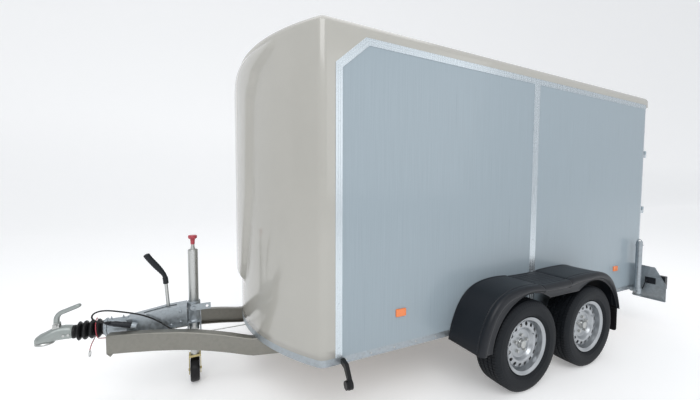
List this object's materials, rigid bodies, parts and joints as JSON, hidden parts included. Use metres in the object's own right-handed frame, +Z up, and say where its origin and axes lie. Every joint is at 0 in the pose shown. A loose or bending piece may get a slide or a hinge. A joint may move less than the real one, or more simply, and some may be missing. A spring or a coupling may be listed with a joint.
{
  "type": "livestock trailer",
  "caption": "Closed tandem-axle box trailer with curved nose, rear barn doors, cranked V drawbar, overrun coupling, jockey wheel and rear props.",
  "frame": {"origin": "on the ground under the middle of the overall box", "axes": "+X to the trailer's left side, drawbar towards -Y, +Z up"},
  "size_m": [2.17, 4.72, 2.179],
  "materials": {
    "galvanised": "hot-dip galvanised, spangled",
    "zinc_plate": "zinc plated",
    "cast_head": "zinc plated casting",
    "plywood": "phenolic faced plywood",
    "gelcoat": "gloss gelcoat",
    "side_skin": "satin gelcoat with fine vertical grain",
    "aluminium_trim": "bright anodised",
    "amber": "moulded reflector",
    "lamp": "black housing",
    "tail_lamp": "red lens",
    "black_plastic": "moulded, satin",
    "tyre": "rubber",
    "rim": "silver",
    "bellows": "rubber",
    "red_plastic": "gloss",
    "red_sheath": "sheath",
    "yellow_zinc": "yellow passivated zinc",
    "hub_metal": "machined and painted"
  },
  "bodies": {
    "chassis": {"perimeter_rail": "galvanised", "underframe": "galvanised", "drawbar_beam_left": "galvanised", "drawbar_beam_right": "galvanised", "axle_tubes": "galvanised", "floor_panel": "plywood", "nose_shell": "gelcoat", "roof_shell": "gelcoat", "side_panel_left": "side_skin", "side_panel_right": "side_skin", "side_trims": "aluminium_trim", "rear_frame": "aluminium_trim", "reflectors": "amber", "marker_lamps": "lamp", "mudguard_left": "black_plastic", "mudguard_right": "black_plastic", "light_boards": "galvanised", "tail_lamps": "tail_lamp", "overrun_housing": "galvanised", "jockey_clamp": "galvanised", "prop_clamps": "galvanised", "plug": "black_plastic", "plug_lead": "bellows", "breakaway_cable": "red_sheath", "breakaway_hook": "zinc_plate"},
    "overrun_shaft": {"drawbar_shaft": "zinc_plate", "coupling_head": "cast_head", "bellows": "bellows"},
    "coupling_handle": {"coupling_handle": "zinc_plate"},
    "handbrake": {"handbrake_lever": "zinc_plate", "handbrake_grip": "black_plastic"},
    "brake_rod": {"brake_rod": "zinc_plate"},
    "clamp_lever": {"jockey_clamp_lever": "galvanised"},
    "jockey_outer": {"jockey_outer_tube": "zinc_plate"},
    "jockey_inner": {"jockey_inner_tube": "zinc_plate"},
    "jockey_fork": {"jockey_fork": "yellow_zinc"},
    "jockey_crank": {"jockey_crank": "red_plastic"},
    "jockey_wheel": {"jockey_wheel": "black_plastic"},
    "swing_arm_front_left": {"swing_arm_front_left": "galvanised"},
    "wheel_front_left": {"tyre_front_left": "tyre", "rim_front_left": "rim", "hub_front_left": "hub_metal"},
    "swing_arm_front_right": {"swing_arm_front_right": "galvanised"},
    "wheel_front_right": {"tyre_front_right": "tyre", "rim_front_right": "rim", "hub_front_right": "hub_metal"},
    "swing_arm_rear_left": {"swing_arm_rear_left": "galvanised"},
    "wheel_rear_left": {"tyre_rear_left": "tyre", "rim_rear_left": "rim", "hub_rear_left": "hub_metal"},
    "swing_arm_rear_right": {"swing_arm_rear_right": "galvanised"},
    "wheel_rear_right": {"tyre_rear_right": "tyre", "rim_rear_right": "rim", "hub_rear_right": "hub_metal"},
    "door_left": {"door_left": "side_skin"},
    "lock_rod_left": {"lock_rod_left": "zinc_plate"},
    "prop_leg_left": {"prop_leg_left": "galvanised"},
    "door_right": {"door_right": "side_skin"},
    "lock_rod_right": {"lock_rod_right": "zinc_plate"},
    "prop_leg_right": {"prop_leg_right": "galvanised"}
  },
  "joints": [
    {"name": "overrun_slide", "type": "slide", "parent": "chassis", "child": "overrun_shaft", "axis": [0, 1, 0], "range_m": [0, 0.09], "stiffness_N_per_m": 1500, "springref_m": -0.04, "deforming": ["bellows"]},
    {"name": "coupling_handle_lift", "type": "hinge", "parent": "overrun_shaft", "child": "coupling_handle", "pos_m": [0, -2.262, 0.512], "axis": [1, 0, 0], "range_deg": [0, 45]},
    {"name": "handbrake_release", "type": "hinge", "parent": "chassis", "child": "handbrake", "pos_m": [0, -1.692, 0.42], "axis": [1, 0, 0], "range_deg": [0, 40]},
    {"name": "brake_rod_slide", "type": "slide", "parent": "chassis", "child": "brake_rod", "axis": [0, 1, 0], "range_m": [0, 0.0483]},
    {"name": "clamp_lever_turn", "type": "hinge", "parent": "chassis", "child": "clamp_lever", "pos_m": [0.068, -1.562, 0.52], "axis": [1, 0, 0], "range_deg": [0, 100]},
    {"name": "jockey_tube_lift", "type": "slide", "parent": "chassis", "child": "jockey_outer", "axis": [0, 0, 1], "range_m": [0, 0.08]},
    {"name": "jockey_winding", "type": "slide", "parent": "jockey_outer", "child": "jockey_inner", "axis": [0, 0, 1], "range_m": [0, 0.07]},
    {"name": "jockey_swivel", "type": "hinge", "parent": "jockey_inner", "child": "jockey_fork", "pos_m": [0, -1.562, 0.2], "axis": [0, 0, 1], "continuous": true},
    {"name": "jockey_wheel_spin", "type": "hinge", "parent": "jockey_fork", "child": "jockey_wheel", "pos_m": [0, -1.562, 0.08], "axis": [0, 1, 0], "continuous": true},
    {"name": "jockey_crank_turn", "type": "hinge", "parent": "jockey_outer", "child": "jockey_crank", "pos_m": [0, -1.562, 0.9], "axis": [0, 0, 1], "range_deg": [0, 2100]},
    {"name": "suspension_front_left", "type": "hinge", "parent": "chassis", "child": "swing_arm_front_left", "pos_m": [0.815, 0.18, 0.262], "axis": [1, 0, 0], "range_deg": [-5, 5], "stiffness_Nm_per_rad": 4000, "springref_deg": -3.44},
    {"name": "wheel_spin_front_left", "type": "hinge", "parent": "swing_arm_front_left", "child": "wheel_front_left", "pos_m": [0.9745, 0.34, 0.2945], "axis": [1, 0, 0], "continuous": true},
    {"name": "suspension_front_right", "type": "hinge", "parent": "chassis", "child": "swing_arm_front_right", "pos_m": [-0.815, 0.18, 0.262], "axis": [1, 0, 0], "range_deg": [-5, 5], "stiffness_Nm_per_rad": 4000, "springref_deg": -3.44},
    {"name": "wheel_spin_front_right", "type": "hinge", "parent": "swing_arm_front_right", "child": "wheel_front_right", "pos_m": [-0.9745, 0.34, 0.2945], "axis": [1, 0, 0], "continuous": true},
    {"name": "suspension_rear_left", "type": "hinge", "parent": "chassis", "child": "swing_arm_rear_left", "pos_m": [0.815, 0.86, 0.262], "axis": [1, 0, 0], "range_deg": [-5, 5], "stiffness_Nm_per_rad": 4000, "springref_deg": -3.44},
    {"name": "wheel_spin_rear_left", "type": "hinge", "parent": "swing_arm_rear_left", "child": "wheel_rear_left", "pos_m": [0.9745, 1.02, 0.2945], "axis": [1, 0, 0], "continuous": true},
    {"name": "suspension_rear_right", "type": "hinge", "parent": "chassis", "child": "swing_arm_rear_right", "pos_m": [-0.815, 0.86, 0.262], "axis": [1, 0, 0], "range_deg": [-5, 5], "stiffness_Nm_per_rad": 4000, "springref_deg": -3.44},
    {"name": "wheel_spin_rear_right", "type": "hinge", "parent": "swing_arm_rear_right", "child": "wheel_rear_right", "pos_m": [-0.9745, 1.02, 0.2945], "axis": [1, 0, 0], "continuous": true},
    {"name": "door_left_swing", "type": "hinge", "parent": "chassis", "child": "door_left", "pos_m": [0.8, 2.347, 1.2], "axis": [0, 0, -1], "range_deg": [0, 180]},
    {"name": "lock_rod_left_turn", "type": "hinge", "parent": "door_left", "child": "lock_rod_left", "pos_m": [0.09, 2.337, 1.2], "axis": [0, 0, 1], "range_deg": [0, 90]},
    {"name": "prop_left_lower", "type": "slide", "parent": "chassis", "child": "prop_leg_left", "axis": [0, 0, -1], "range_m": [0, 0.31]},
    {"name": "door_right_swing", "type": "hinge", "parent": "chassis", "child": "door_right", "pos_m": [-0.8, 2.347, 1.2], "axis": [0, 0, 1], "range_deg": [0, 180]},
    {"name": "lock_rod_right_turn", "type": "hinge", "parent": "door_right", "child": "lock_rod_right", "pos_m": [-0.09, 2.337, 1.2], "axis": [0, 0, -1], "range_deg": [0, 90]},
    {"name": "prop_right_lower", "type": "slide", "parent": "chassis", "child": "prop_leg_right", "axis": [0, 0, -1], "range_m": [0, 0.31]}
  ],
  "couplings": [
    {"joint": "brake_rod_slide", "follows": "handbrake_release", "m_per_rad": 0.069},
    {"joint": "jockey_crank_turn", "follows": "jockey_winding", "rad_per_m": 523.59}
  ]
}
